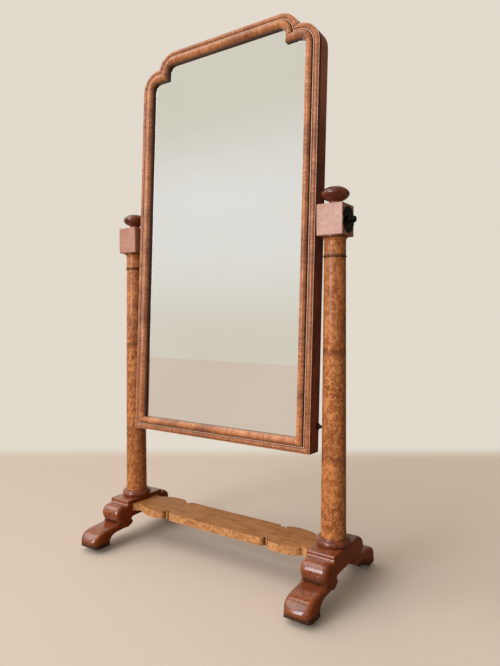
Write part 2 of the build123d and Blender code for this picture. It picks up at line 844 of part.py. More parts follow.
def make_glazing_blocks():
    """Short soft-wood blocks glued round the back of the plate."""
    inner_x = frame_half_width - carcass_thickness
    glass_x = frame_half_width - moulding_width + glass_lap
    width = inner_x - glass_x + glazing_block_lap
    z_low = -frame_bottom + carcass_thickness + 40
    z_high = ear_centre_z - 60
    count = round((z_high - z_low) / glazing_block_pitch)
    mid_y = glass_back + glazing_block_height / 2
    blocks = []
    for step in range(count + 1):
        z = z_low + (z_high - z_low) * step / count
        for side in (-1, 1):
            x = side * (inner_x - width / 2)
            blocks.append(Pos(x, mid_y, z) * Box(width, glazing_block_height, glazing_block_length))
    for x in (-glazing_block_pitch / 2, glazing_block_pitch / 2):
        for edge, way in ((-frame_bottom + carcass_thickness, 1), (frame_top - carcass_thickness, -1)):
            z = edge + way * width / 2
            blocks.append(Pos(x, mid_y, z) * Box(glazing_block_length, glazing_block_height, width))
    return blocks


# Pivots: rose, thumbscrew, knob and spacer, on the right-hand block

def make_rose():
    outer = block_side / 2
    outline = Curve() + [
        Line((bore_radius, 0), (rose_radius, 0)),
        Line((rose_radius, 0), (rose_radius, rose_thickness * 0.5)),
        ThreePointArc(
            (rose_radius, rose_thickness * 0.5),
            (rose_radius - rose_edge_ease, rose_thickness * 0.9),
            (rose_radius - rose_shoulder, rose_thickness),
        ),
        Line(
            (rose_radius - rose_shoulder, rose_thickness),
            (rose_boss_radius + rose_shoulder, rose_thickness),
        ),
        Spline(
            [
                (rose_boss_radius + rose_shoulder, rose_thickness),
                (rose_boss_radius - 2, rose_thickness + rose_boss_height),
            ],
            tangents=[(-1, 0.1), (-0.4, 1)],
        ),
        Line(
            (rose_boss_radius - 2, rose_thickness + rose_boss_height),
            (bore_radius, rose_thickness + rose_boss_height),
        ),
        Line((bore_radius, rose_thickness + rose_boss_height), (bore_radius, 0)),
    ]
    rose = ring_solid(outline)
    return Plane(origin=(half_spacing + outer, 0, pivot_height), z_dir=(1, 0, 0)) * rose


def knob_foot():
    """Distance from the column axis to the neck of the knob."""
    return block_side / 2 + rose_thickness + rose_boss_height + running_gap


def make_knob():
    """A turned knob with a waisted neck, driven on to the thumbscrew."""
    neck = knob_neck_length
    top = knob_neck_length + knob_length
    hole = thumbscrew_radius + fit_gap
    sunk = top - knob_cap
    outline = Curve() + [
        Line((hole, 0), (knob_neck_radius + knob_foot_flare, 0)),
        Spline(
            [(knob_neck_radius + knob_foot_flare, 0), (knob_neck_radius + knob_neck_flare, neck)],
            tangents=[(-0.5, 1), (0.6, 1)],
        ),
        Spline(
            [
                (knob_neck_radius + knob_neck_flare, neck),
                (knob_radius, neck + knob_length * 0.45),
                (knob_radius - knob_brow, top - knob_crown),
                (0, top),
            ],
            tangents=[(1, 0.5), (-1, 0)],
        ),
        Line((0, top), (0, sunk)),
        Line((0, sunk), (hole, sunk)),
        Line((hole, sunk), (hole, 0)),
    ]
    knob = ring_solid(outline)
    return Plane(origin=(half_spacing + knob_foot(), 0, pivot_height), z_dir=(1, 0, 0)) * knob


def make_thumbscrew():
    """The plain shank from inside the knob to inside the frame's side."""
    start_x = frame_half_width - thumbscrew_reach_in
    end_x = half_spacing + knob_foot() + knob_neck_length + knob_length - knob_cap - fit_gap
    shank = rod(thumbscrew_radius, (start_x, 0, pivot_height), (1, 0, 0), end_x - start_x)
    return chamfer(shank.edges().sort_by(Axis.X)[0], 1.0)


def make_spacer():
    """A turned washer that fills the gap between block and frame."""
    thickness = frame_side_gap - running_gap
    start_x = half_spacing - block_side / 2 - thickness
    disc = rod(spacer_radius, (start_x, 0, pivot_height), (1, 0, 0), thickness)
    disc = fillet(disc.edges().filter_by(GeomType.CIRCLE), 1.5)
    return disc - rod(bore_radius, (start_x, 0, pivot_height), (1, 0, 0), thickness)


def leaned(shape):
    """Hang a piece of the frame on the pivots and lean it back."""
    return Pos(0, 0, pivot_height) * Rot(-lean_back, 0, 0) * shape


# Write every sub-part: first what comes in a left and a right

carcass_side, carcass_head, carcass_foot = make_carcass_pieces()
screw_holes_in_back = back_screws(True)
carcass_side -= screw_holes_in_back
carcass_head -= screw_holes_in_back
carcass_foot -= screw_holes_in_back

front_leg = make_leg()
rear_leg = mirror(front_leg, about=Plane.XZ)
frame_stud = make_side_stud()

pairs = {
    "column": make_column(),
    "collar": make_collar(),
    "pivot_block": make_pivot_block(),
    "finial": make_finial(),
    "front_leg": front_leg,
    "rear_leg": rear_leg,
    "leg_dowels": Compound(leg_dowels()),
    "rose": make_rose(),
    "thumbscrew": make_thumbscrew(),
    "knob": make_knob(),
    "pivot_spacer": make_spacer(),
    "stile_moulding": leaned(make_stile_moulding()),
    "carcass_side": leaned(carcass_side),
    "nut_plate": leaned(nut_plate(1)),
    "side_stud": leaned(frame_stud),
}
for part_name, part in pairs.items():
    save(f"right_{part_name}", part)
    save(f"left_{part_name}", mirrored(part))

# Single pieces

save("stretcher", make_stretcher())
save("head_moulding", leaned(make_head_moulding()))
save("foot_moulding", leaned(make_foot_moulding()))
save("carcass_head", leaned(carcass_head))
save("carcass_foot", leaned(carcass_foot))
save("mirror_plate", leaned(make_glass()))
save("back_panel", leaned(make_back_panel()))
save("back_screws", leaned(Compound(back_screws(False))))
save("glazing_blocks", leaned(Compound(make_glazing_blocks())))
nut_screw_set = nut_screws(False)
save("nut_plate_screws", leaned(Compound(nut_screw_set + [mirrored(item) for item in nut_screw_set])))

# Castors, one under each toe

all_castor_screws = []
for side_name, side_x in (("left", -half_spacing), ("right", half_spacing)):
    for end_name, way in (("front", 1), ("rear", -1)):
        y = -way * castor_reach
        corner = f"{side_name}_{end_name}"
        save(f"{corner}_castor_plate", castor_plate(side_x, y))
        save(f"{corner}_castor_fork", castor_fork(side_x, y, way))
        save(f"{corner}_castor_axle", castor_axle(side_x, y, way))
        save(f"{corner}_castor_wheel", castor_wheel(side_x, y, way))
        all_castor_screws += castor_screws(side_x, y, False)
save("castor_screws", Compound(all_castor_screws))
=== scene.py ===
"""Cheval mirror: finishes, moulded frame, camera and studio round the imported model."""

import json
import logging
import math
from dataclasses import dataclass, field
from enum import Enum

import bmesh
import bpy
import numpy as np
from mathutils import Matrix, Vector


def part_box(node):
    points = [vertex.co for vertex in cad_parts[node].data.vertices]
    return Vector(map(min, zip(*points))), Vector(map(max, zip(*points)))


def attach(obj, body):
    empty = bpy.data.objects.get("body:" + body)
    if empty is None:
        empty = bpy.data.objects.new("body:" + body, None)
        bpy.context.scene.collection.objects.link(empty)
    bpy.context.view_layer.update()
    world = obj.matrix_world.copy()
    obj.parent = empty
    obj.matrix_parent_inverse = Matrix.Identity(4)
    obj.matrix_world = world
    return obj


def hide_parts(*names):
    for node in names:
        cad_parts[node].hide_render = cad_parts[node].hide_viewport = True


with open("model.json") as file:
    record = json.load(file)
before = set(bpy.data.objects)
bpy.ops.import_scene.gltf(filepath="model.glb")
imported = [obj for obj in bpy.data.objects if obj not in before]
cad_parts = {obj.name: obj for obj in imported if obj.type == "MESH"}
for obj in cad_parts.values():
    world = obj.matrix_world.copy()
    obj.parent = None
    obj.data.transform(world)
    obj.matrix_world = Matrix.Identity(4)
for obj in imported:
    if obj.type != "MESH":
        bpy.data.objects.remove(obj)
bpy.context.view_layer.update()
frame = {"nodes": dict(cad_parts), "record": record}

log = logging.getLogger("cheval_mirror")
CORNERS = tuple(f"{side}_{end}" for side in ("left", "right") for end in ("front", "rear"))
Socket = bpy.types.NodeSocket
UNIT = (1.0, 1.0, 1.0)
ZERO = (0.0, 0.0, 0.0)
FORWARDS = (0.0, -1.0, 0.0)
SHARP_RAYS = ("Camera", "Transmission", "Singular")
EYE_RAYS = ("Camera", "Glossy", "Transmission")
WELD = 1e-6
SOLID_WELD = 1e-5
SHARP_ANGLE = math.radians(32)


def srgb(red: int, green: int, blue: int) -> tuple[float, float, float, float]:
    """Turn a screen colour into the linear colour that a shader takes.

    Args:
        red, green, blue: the screen colour, 0 to 255.

    Returns:
        The linear colour with full alpha.
    """
    share = np.array([red, green, blue]) / 255.0
    linear = np.where(share <= 0.04045, share / 12.92, ((share + 0.055) / 1.055) ** 2.4)
    return (*(float(part) for part in linear), 1.0)


class Pattern(Enum):
    """The coordinates that a grain follows."""

    SOLID = "Object"
    ALONG = "UV"


class Tree:
    """A node tree under construction, with short calls for the nodes used here."""

    def __init__(self, tree: bpy.types.NodeTree) -> None:
        """Take a node tree and empty it."""
        self.tree = tree
        tree.nodes.clear()

    def add(self, kind: str, **settings: object) -> bpy.types.Node:
        """Add a node and set its own properties."""
        node = self.tree.nodes.new(kind)
        for key, value in settings.items():
            setattr(node, key, value)
        return node

    def link(self, source: Socket, target: Socket) -> None:
        """Join an output to an input."""
        self.tree.links.new(source, target)

    def feed(self, target: Socket, value: object) -> None:
        """Give an input a link where the value is a socket, and else a number or colour."""
        if isinstance(value, Socket):
            self.link(value, target)
        else:
            target.default_value = value

    def spread(
        self, value: Socket, low: float, high: float, out_low: float = 0.0, out_high: float = 1.0,
        easing: str = "SMOOTHSTEP",
    ) -> Socket:
        """Stretch a value's range from low..high to out_low..out_high; returns a socket."""
        node = self.add("ShaderNodeMapRange", interpolation_type=easing)
        for place, number in enumerate((low, high, out_low, out_high), start=1):
            node.inputs[place].default_value = number
        self.link(value, node.inputs[0])
        return node.outputs[0]

    def combine(self, operation: str, first: object, second: object) -> Socket:
        """Two values put through a math operation; returns a socket."""
        node = self.add("ShaderNodeMath", operation=operation)
        self.feed(node.inputs[0], first)
        self.feed(node.inputs[1], second)
        return node.outputs[0]

    def times(self, first: object, second: object) -> Socket:
        """The product of two values; returns a socket."""
        return self.combine("MULTIPLY", first, second)

    def vector(
        self, operation: str, first: Socket, second: tuple = ZERO, output: str = "Vector"
    ) -> Socket:
        """A vector put through an operation with a fixed one; returns the named output."""
        node = self.add("ShaderNodeVectorMath", operation=operation)
        self.link(first, node.inputs[0])
        node.inputs[1].default_value = second
        return node.outputs[output]

    def along(self, vector: Socket, way: tuple) -> Socket:
        """How far a vector reaches along a fixed direction; returns a socket."""
        return self.vector("DOT_PRODUCT", vector, way, "Value")

    def split(self, vector: Socket, axis: str) -> Socket:
        """One axis of a vector; returns its socket."""
        node = self.add("ShaderNodeSeparateXYZ")
        self.link(vector, node.inputs[0])
        return node.outputs[axis]

    def mix(self, share: object, first: object, second: object) -> Socket:
        """Blend two colours by a share; returns the colour socket."""
        node = self.add("ShaderNodeMix", data_type="RGBA")
        self.feed(node.inputs["Factor"], share)
        self.feed(node.inputs[6], first)
        self.feed(node.inputs[7], second)
        return node.outputs[2]

    def blend(self, share: Socket, first: Socket, second: Socket) -> Socket:
        """Blend two shaders by a share; returns the shader socket."""
        node = self.add("ShaderNodeMixShader")
        for place, shader in enumerate((share, first, second)):
            self.link(shader, node.inputs[place])
        return node.outputs[0]

    def rays(self, kinds: tuple, rest: Socket | None = None) -> Socket:
        """One for some kinds of ray, and nought or a given value for the rest; returns a socket."""
        path = self.add("ShaderNodeLightPath")
        total = rest
        for kind in kinds:
            found = path.outputs[f"Is {kind} Ray"]
            total = found if total is None else self.combine("MAXIMUM", total, found)
        return total


class Graph(Tree):
    """A material under construction: one surface and the coordinates of its pattern."""

    def __init__(self, name: str, pattern: Pattern = Pattern.SOLID) -> None:
        """Start an empty material whose pattern reads one kind of coordinate."""
        self.material = bpy.data.materials.new(name)
        self.material.use_nodes = True
        super().__init__(self.material.node_tree)
        self.surface = self.add("ShaderNodeBsdfPrincipled")
        self.output = self.add("ShaderNodeOutputMaterial")
        self.link(self.surface.outputs[0], self.output.inputs["Surface"])
        self.coords = self.add("ShaderNodeTexCoord").outputs[pattern.value]

    def stretch(self, scale: tuple = UNIT, turn: tuple = ZERO) -> Socket:
        """The coordinates scaled to units a metre, and turned by degrees; returns a socket."""
        node = self.add("ShaderNodeMapping")
        self.link(self.coords, node.inputs["Vector"])
        node.inputs["Scale"].default_value = scale
        node.inputs["Rotation"].default_value = tuple(math.radians(angle) for angle in turn)
        return node.outputs["Vector"]

    def noise(
        self, vector: Socket, scale: float, detail: float = 4.0, rough: float = 0.55,
        warp: float = 0.0,
    ) -> Socket:
        """Cloudy noise on given coordinates; returns its value socket."""
        node = self.add("ShaderNodeTexNoise")
        self.link(vector, node.inputs["Vector"])
        node.inputs["Scale"].default_value = scale
        node.inputs["Detail"].default_value = detail
        node.inputs["Roughness"].default_value = rough
        node.inputs["Distortion"].default_value = warp
        return node.outputs["Fac"]

    def cells(self, scale: tuple, turn: tuple = ZERO) -> Socket:
        """Distance to the nearest of many points, scattered by a scale; returns its socket."""
        node = self.add("ShaderNodeTexVoronoi")
        self.link(self.stretch(scale, turn), node.inputs["Vector"])
        node.inputs["Scale"].default_value = 1.0
        return node.outputs["Distance"]

    def paint(self, body: Socket, value: Socket, bands: tuple, soft: float) -> Socket:
        """Lay bands over a colour, each with its start, end, colour and share; returns a socket."""
        for start, end, colour, share in bands:
            rising = self.spread(value, start - soft, start + soft)
            inside = self.times(rising, self.spread(value, end + soft, end - soft))
            body = self.mix(self.times(inside, share), body, colour)
        return body

    def facing_up(self) -> Socket:
        """One where the surface faces up and nought where it stands; returns a socket."""
        normal = self.add("ShaderNodeNewGeometry").outputs["Normal"]
        return self.spread(self.split(normal, "Z"), 0.6, 0.9)

    def facing_sideways(self) -> Socket:
        """One where the surface faces left or right and nought elsewhere; returns a socket."""
        normal = self.add("ShaderNodeNewGeometry").outputs["Normal"]
        return self.spread(self.combine("ABSOLUTE", self.split(normal, "X"), 0.0), 0.6, 0.92)

    def bump(self, height: Socket, strength: float, depth: float) -> None:
        """Raise the surface by a height socket, depth metres at strength one."""
        node = self.add("ShaderNodeBump")
        node.inputs["Strength"].default_value = strength
        node.inputs["Distance"].default_value = depth
        self.link(height, node.inputs["Height"])
        self.link(node.outputs["Normal"], self.surface.inputs["Normal"])

    def finish(self, **sockets: object) -> bpy.types.Material:
        """Set the surface's sockets by name, with spaces as underscores; return the material."""
        for name, value in sockets.items():
            self.feed(self.surface.inputs[name.replace("_", " ")], value)
        return self.material


@dataclass(frozen=True)
class FiguredWood:
    """A French-polished wood: cloudy figure, drawn-out grain, dark eyes and a gloss coat.

    The painted shade in the crease is told by the crease's reach from the middle, its height and
    how far the shade spreads.
    """

    name: str
    light: tuple
    middle: tuple
    dark: tuple
    grain: tuple = (9.0, 9.0, 1.6)
    turn: tuple = ZERO
    cloud_scale: float = 9.0
    cloud_share: float = 0.55
    curl_share: float = 0.6
    pore_share: float = 0.25
    fleck_scale: tuple = (210.0, 210.0, 90.0)
    fleck_share: float = 0.8
    fleck_and_shade_colour: tuple = srgb(70, 34, 16)
    wave: float = 2.2
    gloss: float = 0.3
    sheen: float = 0.2
    coat: float = 0.3
    coat_index: float = 1.5
    shaded_side_colour: tuple | None = None
    shaded_side_share: float = 0.65
    side_coat: float = 0.04
    crease: tuple | None = None
    crease_shade_share: float = 0.85
    pattern: Pattern = Pattern.SOLID
    band_axis: str = "Y"
    band_edge: float = 0.0003
    bands: tuple = ()

    def figure(self, graph: Graph, cloud: Socket, pores: Socket) -> Socket:
        """Streaks, curls, clouds, patches of eyes, and pores; returns the colour socket."""
        drawn_out = graph.stretch(self.grain, self.turn)
        streak = graph.noise(drawn_out, scale=6.0, detail=7.0, rough=0.62, warp=self.wave)
        curly = graph.stretch((1, 1, 0.55), self.turn)
        curl = graph.noise(curly, scale=46.0, rough=0.6, warp=2.6)
        body = graph.mix(graph.spread(streak, 0.33, 0.62), self.middle, self.light)
        body = graph.mix(graph.spread(curl, 0.5, 0.68, 0.0, self.curl_share), body, self.dark)
        body = graph.mix(graph.spread(cloud, 0.4, 0.72, 0.0, self.cloud_share), body, self.dark)
        eyes = graph.spread(graph.cells(self.fleck_scale, self.turn), 0.3, 0.12)
        patches = graph.spread(graph.noise(graph.stretch(), scale=30.0, detail=2.0), 0.44, 0.62)
        flecks = graph.times(graph.times(eyes, patches), self.fleck_share)
        body = graph.mix(flecks, body, self.fleck_and_shade_colour)
        return graph.mix(graph.spread(pores, 0.6, 0.75, 0.0, self.pore_share), body, self.dark)

    def in_crease_shade(self, graph: Graph) -> Socket:
        """One along the crease and nought beyond its painted shade; returns a socket."""
        reach, height, radius = self.crease
        profile = graph.vector("MULTIPLY", graph.vector("ABSOLUTE", graph.coords), (0.0, 1.0, 1.0))
        gap = graph.vector("DISTANCE", profile, (0.0, reach, height), "Value")
        return graph.spread(gap, radius, radius * 0.3)

    def build(self) -> bpy.types.Material:
        """Set the figure with painted shade on sides and crease, painted light and shade in bands,
        under polish.
        """
        graph = Graph(self.name, self.pattern)
        cloud = graph.noise(graph.stretch(), self.cloud_scale, detail=3.0, rough=0.5, warp=0.8)
        drawn_out = graph.stretch(self.grain, self.turn)
        pores = graph.noise(drawn_out, scale=90.0, detail=3.0, rough=0.7)
        body = self.figure(graph, cloud, pores)
        graph.bump(pores, strength=0.06, depth=0.0006)
        coat = self.coat
        # Painted shade: faces turned sideways take a deeper brown tone, and their coat thins.
        if self.shaded_side_colour is not None:
            sideways = graph.facing_sideways()
            coat = graph.spread(sideways, 0.0, 1.0, self.coat, self.side_coat)
            body = graph.mix(graph.times(sideways, self.shaded_side_share), body, self.shaded_side_colour)
        # Painted shade: the crease under the bulb is darkened with the fleck colour, and its coat
        # is taken away.
        if self.crease is not None:
            inside = self.in_crease_shade(graph)
            body = graph.mix(graph.times(inside, self.crease_shade_share), body, self.fleck_and_shade_colour)
            coat = graph.times(coat, graph.spread(inside, 0.0, 0.6, 1.0, 0.0))
        # Bands of painted light and shade by place: shade at the legs' foot, sheen on the case's
        # top, shade and highlights on the moulding.
        if self.bands:
            place = graph.split(graph.coords, self.band_axis)
            body = graph.paint(body, place, self.bands, self.band_edge)
        return graph.finish(
            Base_Color=body,
            Roughness=graph.spread(cloud, 0.3, 0.7, self.gloss - 0.05, self.gloss + 0.1),
            Coat_Weight=coat,
            Coat_Roughness=0.13,
            Coat_IOR=self.coat_index,
            Specular_IOR_Level=self.sheen,
        )


@dataclass(frozen=True)
class BurrMaple:
    """Honey burr: soft swirls, fine curls, close-set small dark eyes and faint veneer joints.

    Joints, the neck ring's dark line and the painted shade on the capital's flare are told by their
    start, end and share, and few_eyes by two heights and the shares of the eyes there.
    """

    name: str
    honey: tuple
    amber: tuple
    umber: tuple
    eye: tuple = srgb(70, 32, 18)
    curl_share: float = 0.42
    patch_share: float = 0.25
    few_eyes: tuple = (0.82, 0.66, 0.3, 0.85)
    joints: tuple = ((0.698, 0.716, 0.55), (0.393, 0.411, 0.3))
    joint_sway: float = 0.03
    joint_edge: float = 0.006
    ring_line_and_flare_shade: tuple = ((0.9580, 0.9670, 0.75), (1.0130, 1.0300, 0.6))
    ring_edge: float = 0.0015

    def build(self) -> bpy.types.Material:
        """Lay swirls, curls, eyes, veneer joints, the ring line and painted shade at the capital,
        and polish them.
        """
        graph = Graph(self.name)
        place = graph.stretch((1.0, 1.0, 0.85))
        height = graph.split(graph.coords, "Z")
        swirl = graph.noise(place, scale=58.0, detail=5.0, rough=0.6, warp=1.4)
        patch = graph.noise(place, scale=9.0, detail=3.0, rough=0.5, warp=0.8)
        curl = graph.noise(place, scale=150.0, rough=0.65, warp=1.8)
        body = graph.mix(graph.spread(swirl, 0.36, 0.64), self.amber, self.honey)
        body = graph.mix(graph.spread(curl, 0.5, 0.64, 0.0, self.curl_share), body, self.umber)
        body = graph.mix(graph.spread(patch, 0.48, 0.68, 0.0, self.patch_share), body, self.umber)
        eyes = graph.spread(graph.cells((210.0, 210.0, 180.0)), 0.44, 0.16)
        clusters = graph.spread(graph.noise(place, scale=16.0, detail=3.0), 0.4, 0.6)
        fewer = graph.spread(height, *self.few_eyes)
        body = graph.mix(graph.times(graph.times(eyes, clusters), fewer), body, self.eye)
        swaying = graph.combine("ADD", graph.times(swirl, self.joint_sway), height)
        joints = [(start, end, self.umber, share) for start, end, share in self.joints]
        body = graph.paint(body, swaying, joints, self.joint_edge)
        # The neck ring's dark line, and painted shade on the capital's flare under the block.
        ring_line_and_flare_shade = [(start, end, self.eye, share) for start, end, share in self.ring_line_and_flare_shade]
        body = graph.paint(body, height, ring_line_and_flare_shade, self.ring_edge)
        graph.bump(curl, strength=0.03, depth=0.0004)
        return graph.finish(
            Base_Color=body,
            Roughness=graph.spread(patch, 0.3, 0.7, 0.26, 0.38),
            Coat_Weight=0.22,
            Coat_Roughness=0.1,
            Specular_IOR_Level=0.15,
        )


@dataclass(frozen=True)
class StretcherWood:
    """Long-grained top and burr-veneered edge on one board, with painted shade in its kerfs and at
    its step.
    """

    name: str = "stretcher_board"
    streaks: tuple = (srgb(146, 92, 48), srgb(186, 126, 70))
    clouds: tuple = srgb(136, 80, 40)
    burr: tuple = (srgb(166, 108, 62), srgb(214, 156, 102))
    eye: tuple = srgb(84, 40, 20)
    # shade is the dark tone of the top's eyes, and the painted shade along the step.
    shade: tuple = srgb(84, 44, 24)
    kerf_shade_colour: tuple = srgb(40, 20, 12)
    kerfs: tuple = ((0.1900, 0.1960), (0.2020, 0.2055))
    kerf_shade_share: float = 0.9
    step: tuple = (0.1965, 0.1990)
    step_shade_share: float = 0.55
    line_edge: float = 0.0008

    def build(self) -> bpy.types.Material:
        """Choose between streaks along the board and burr by which way the face looks."""
        graph = Graph(self.name)
        drawn_out = graph.stretch((1.2, 16.0, 16.0))
        streak = graph.noise(drawn_out, scale=7.0, detail=7.0, rough=0.65, warp=1.2)
        cloud = graph.noise(graph.stretch(), scale=14.0, detail=3.0)
        top = graph.mix(graph.spread(streak, 0.35, 0.65), *self.streaks)
        top = graph.mix(graph.spread(cloud, 0.45, 0.7, 0.0, 0.5), top, self.clouds)
        burr = graph.noise(graph.stretch(), scale=75.0, detail=5.0, rough=0.6, warp=1.6)
        edge = graph.mix(graph.spread(burr, 0.36, 0.62), *self.burr)
        eyes = graph.spread(graph.cells((170, 170, 170)), 0.4, 0.16, 0.0, 0.6)
        clusters = graph.spread(graph.noise(graph.stretch(), scale=22.0, detail=3.0), 0.38, 0.6)
        flecks = graph.times(eyes, clusters)
        edge = graph.mix(flecks, edge, self.eye)
        top = graph.mix(graph.times(flecks, 0.5), top, self.shade)
        # Painted shade: dark lines in the kerfs along the edge and at the step across the top.
        across = graph.combine("ABSOLUTE", graph.split(graph.coords, "X"), 0.0)
        kerfs = [(start, end, self.kerf_shade_colour, self.kerf_shade_share) for start, end in self.kerfs]
        edge = graph.paint(edge, across, kerfs, self.line_edge)
        steps = [(*self.step, self.shade, self.step_shade_share)]
        top = graph.paint(top, across, steps, self.line_edge)
        graph.bump(streak, strength=0.1, depth=0.0006)
        return graph.finish(
            Base_Color=graph.mix(graph.facing_up(), edge, top),
            Roughness=graph.spread(cloud, 0.3, 0.7, 0.38, 0.52),
            Coat_Weight=0.03,
            Coat_Roughness=0.15,
            Specular_IOR_Level=0.15,
        )


@dataclass(frozen=True)
class Metal:
    """Aged metal with a mottled patina and worn gloss."""

    name: str
    bright: tuple
    patina: tuple
    metallic: float = 1.0
    gloss: float = 0.35
    mottle: float = 160.0

    def build(self) -> bpy.types.Material:
        """Mix bright metal and patina by mottled noise, with fine pits."""
        graph = Graph(self.name)
        mottle = graph.noise(graph.stretch(), self.mottle, detail=5.0, rough=0.6, warp=0.6)
        pits = graph.noise(graph.stretch(), scale=900.0, detail=3.0, rough=0.6)
        graph.bump(pits, strength=0.12, depth=0.0003)
        return graph.finish(
            Base_Color=graph.mix(graph.spread(mottle, 0.4, 0.65), self.patina, self.bright),
            Roughness=graph.spread(mottle, 0.3, 0.7, self.gloss - 0.08, self.gloss + 0.15),
            Metallic=self.metallic,
            Coat_Weight=0.15,
            Coat_Roughness=0.2,
        )


@dataclass(frozen=True)
class Silvering:
    """Old silvered plate: clearest in the middle, with a faint warm grey elsewhere."""

    name: str = "silvered_plate"
    clear: tuple = srgb(250, 252, 254)
    head: tuple = srgb(231, 230, 219)
    head_fade: tuple = (1.15, 1.5)
    foot: tuple = srgb(233, 228, 216)
    foot_fade: tuple = (1.02, 0.7)
    haze: tuple = srgb(238, 238, 230)
    haze_share: float = 0.35

    def build(self) -> bpy.types.Material:
        """A sharp metal reflection whose tint varies slowly over the plate."""
        graph = Graph(self.name)
        cloud = graph.noise(graph.stretch(), scale=2.2, detail=2.0, rough=0.5, warp=0.3)
        height = graph.split(graph.coords, "Z")
        tint = graph.mix(graph.spread(height, *self.head_fade), self.clear, self.head)
        tint = graph.mix(graph.spread(height, *self.foot_fade), tint, self.foot)
        tint = graph.mix(graph.spread(cloud, 0.3, 0.7, 0.0, self.haze_share), tint, self.haze)
        return graph.finish(Base_Color=tint, Metallic=1.0, Roughness=0.0)


def three_point_arc(start: tuple, through: tuple, end: tuple, steps: int) -> np.ndarray:
    """Points on the circle through three points, from the first to the last.

    The centre is where the perpendicular bisectors meet; the points step the angle evenly.

    Args:
        start, through, end: the three points.
        steps: how many points to return, ends included.

    Returns:
        An array of steps points.
    """
    a, b, c = (np.array(point, float) for point in (start, through, end))
    rows = np.array([b - a, c - a])
    centre = a + np.linalg.solve(2 * rows, (rows**2).sum(axis=1))
    angles = [math.atan2(*(point - centre)[::-1]) for point in (a, b, c)]
    full = 2 * math.pi
    middle, last = ((angle - angles[0]) % full for angle in angles[1:])
    sweep = last if middle < last else last - full
    turn = angles[0] + np.linspace(0, sweep, steps)
    radius = np.linalg.norm(a - centre)
    return centre + radius * np.stack([np.cos(turn), np.sin(turn)], axis=1)


def new_piece(
    name: str, points: np.ndarray, faces: list, uvs: np.ndarray, body: str
) -> bpy.types.Object:
    """Put a computed surface into a mesh, close its seams and let it ride on a body.

    Args:
        name: the piece's name.
        points: the vertices in metres.
        faces: the faces as lists of vertex numbers.
        uvs: one pattern place for each vertex.
        body: the body that the piece rides on.

    Returns:
        The new object, at the origin.
    """
    mesh = bpy.data.meshes.new(name)
    mesh.from_pydata(points.tolist(), [], faces)
    layer = mesh.uv_layers.new(name="grain")
    corner = np.zeros(len(mesh.loops), np.int32)
    mesh.loops.foreach_get("vertex_index", corner)
    layer.data.foreach_set("uv", uvs[corner].astype(np.float32).ravel())
    shell = bmesh.new()
    shell.from_mesh(mesh)
    bmesh.ops.remove_doubles(shell, verts=shell.verts, dist=WELD)
    bmesh.ops.recalc_face_normals(shell, faces=shell.faces)
    shell.to_mesh(mesh)
    shell.free()
    mesh.shade_smooth()
    mesh.set_sharp_from_angle(angle=SHARP_ANGLE)
    return put_in(name, mesh, body)


def put_in(name: str, mesh: bpy.types.Mesh, body: str) -> bpy.types.Object:
    """Put a finished mesh into the scene as a piece that rides on a body."""
    piece = bpy.data.objects.new(name, mesh)
    bpy.context.scene.collection.objects.link(piece)
    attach(piece, body)
    log.info("%s: %d vertices", name, len(mesh.vertices))
    return piece


def dress(piece: bpy.types.Object, material: bpy.types.Material) -> None:
    """Give a piece one material in all its slots."""
    if not piece.material_slots:
        piece.data.materials.append(material)
    for slot in piece.material_slots:
        slot.material = material


